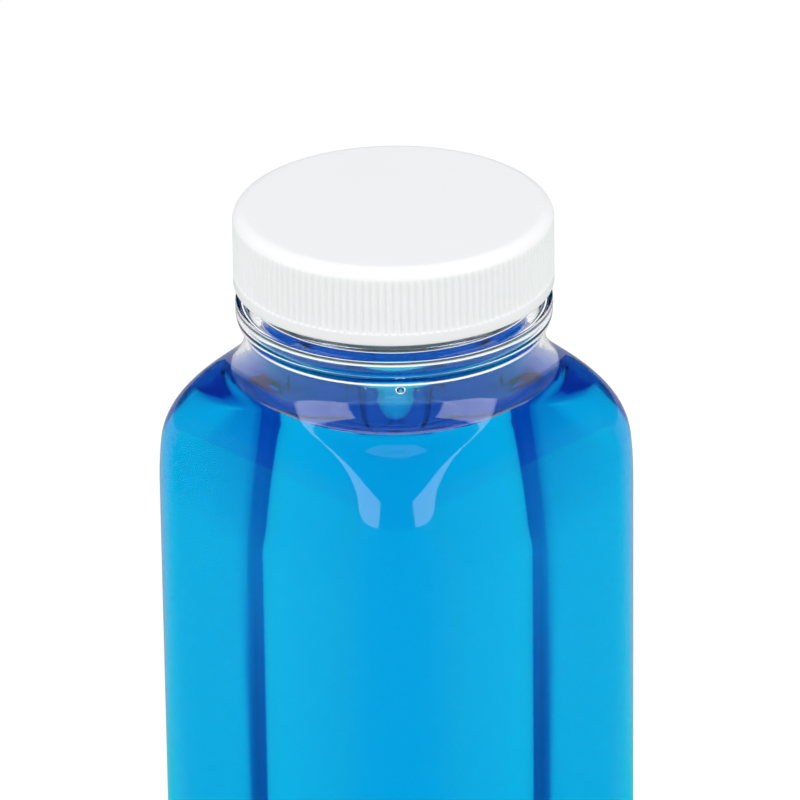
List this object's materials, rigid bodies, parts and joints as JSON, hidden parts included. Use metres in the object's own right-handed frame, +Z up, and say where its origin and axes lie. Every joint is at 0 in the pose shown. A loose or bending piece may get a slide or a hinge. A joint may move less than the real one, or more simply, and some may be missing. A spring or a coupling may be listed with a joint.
{
  "type": "mouthwash bottle",
  "caption": "Clear square bottle with rounded corners, a lofted shoulder, a round neck with a bead, a ribbed screw cap and blue mouthwash inside.",
  "frame": {"origin": "middle of the base, on the surface that the bottle stands on", "axes": "+Z up along the bottle's axis; the flat sides face X and Y and the corners point between them"},
  "size_m": [0.0476, 0.0476, 0.142],
  "materials": {
    "pet_clear": "clear stretch-blown PET, glossy and smooth",
    "mouthwash_blue": "clear bright blue liquid",
    "cap_white": "white injection-moulded polypropylene, satin gloss, fine upright ribs",
    "liner_foam": "white pressed polyethylene foam with fine cells"
  },
  "bodies": {
    "bottle": {"bottle": "pet_clear", "mouthwash": "mouthwash_blue"},
    "liner": {"cap_liner": "liner_foam"},
    "cap": {"cap": "cap_white"}
  },
  "joints": [
    {"name": "cap_rise", "type": "slide", "parent": "bottle", "child": "liner", "axis": [0, 0, 1], "range_m": [0, 0.0085]},
    {"name": "cap_turn", "type": "hinge", "parent": "liner", "child": "cap", "pos_m": [0, 0, 0.142], "axis": [0, 0, 1], "range_deg": [0, 720]}
  ],
  "couplings": [
    {"joint": "cap_rise", "follows": "cap_turn", "m_per_rad": 0.00067375}
  ]
}
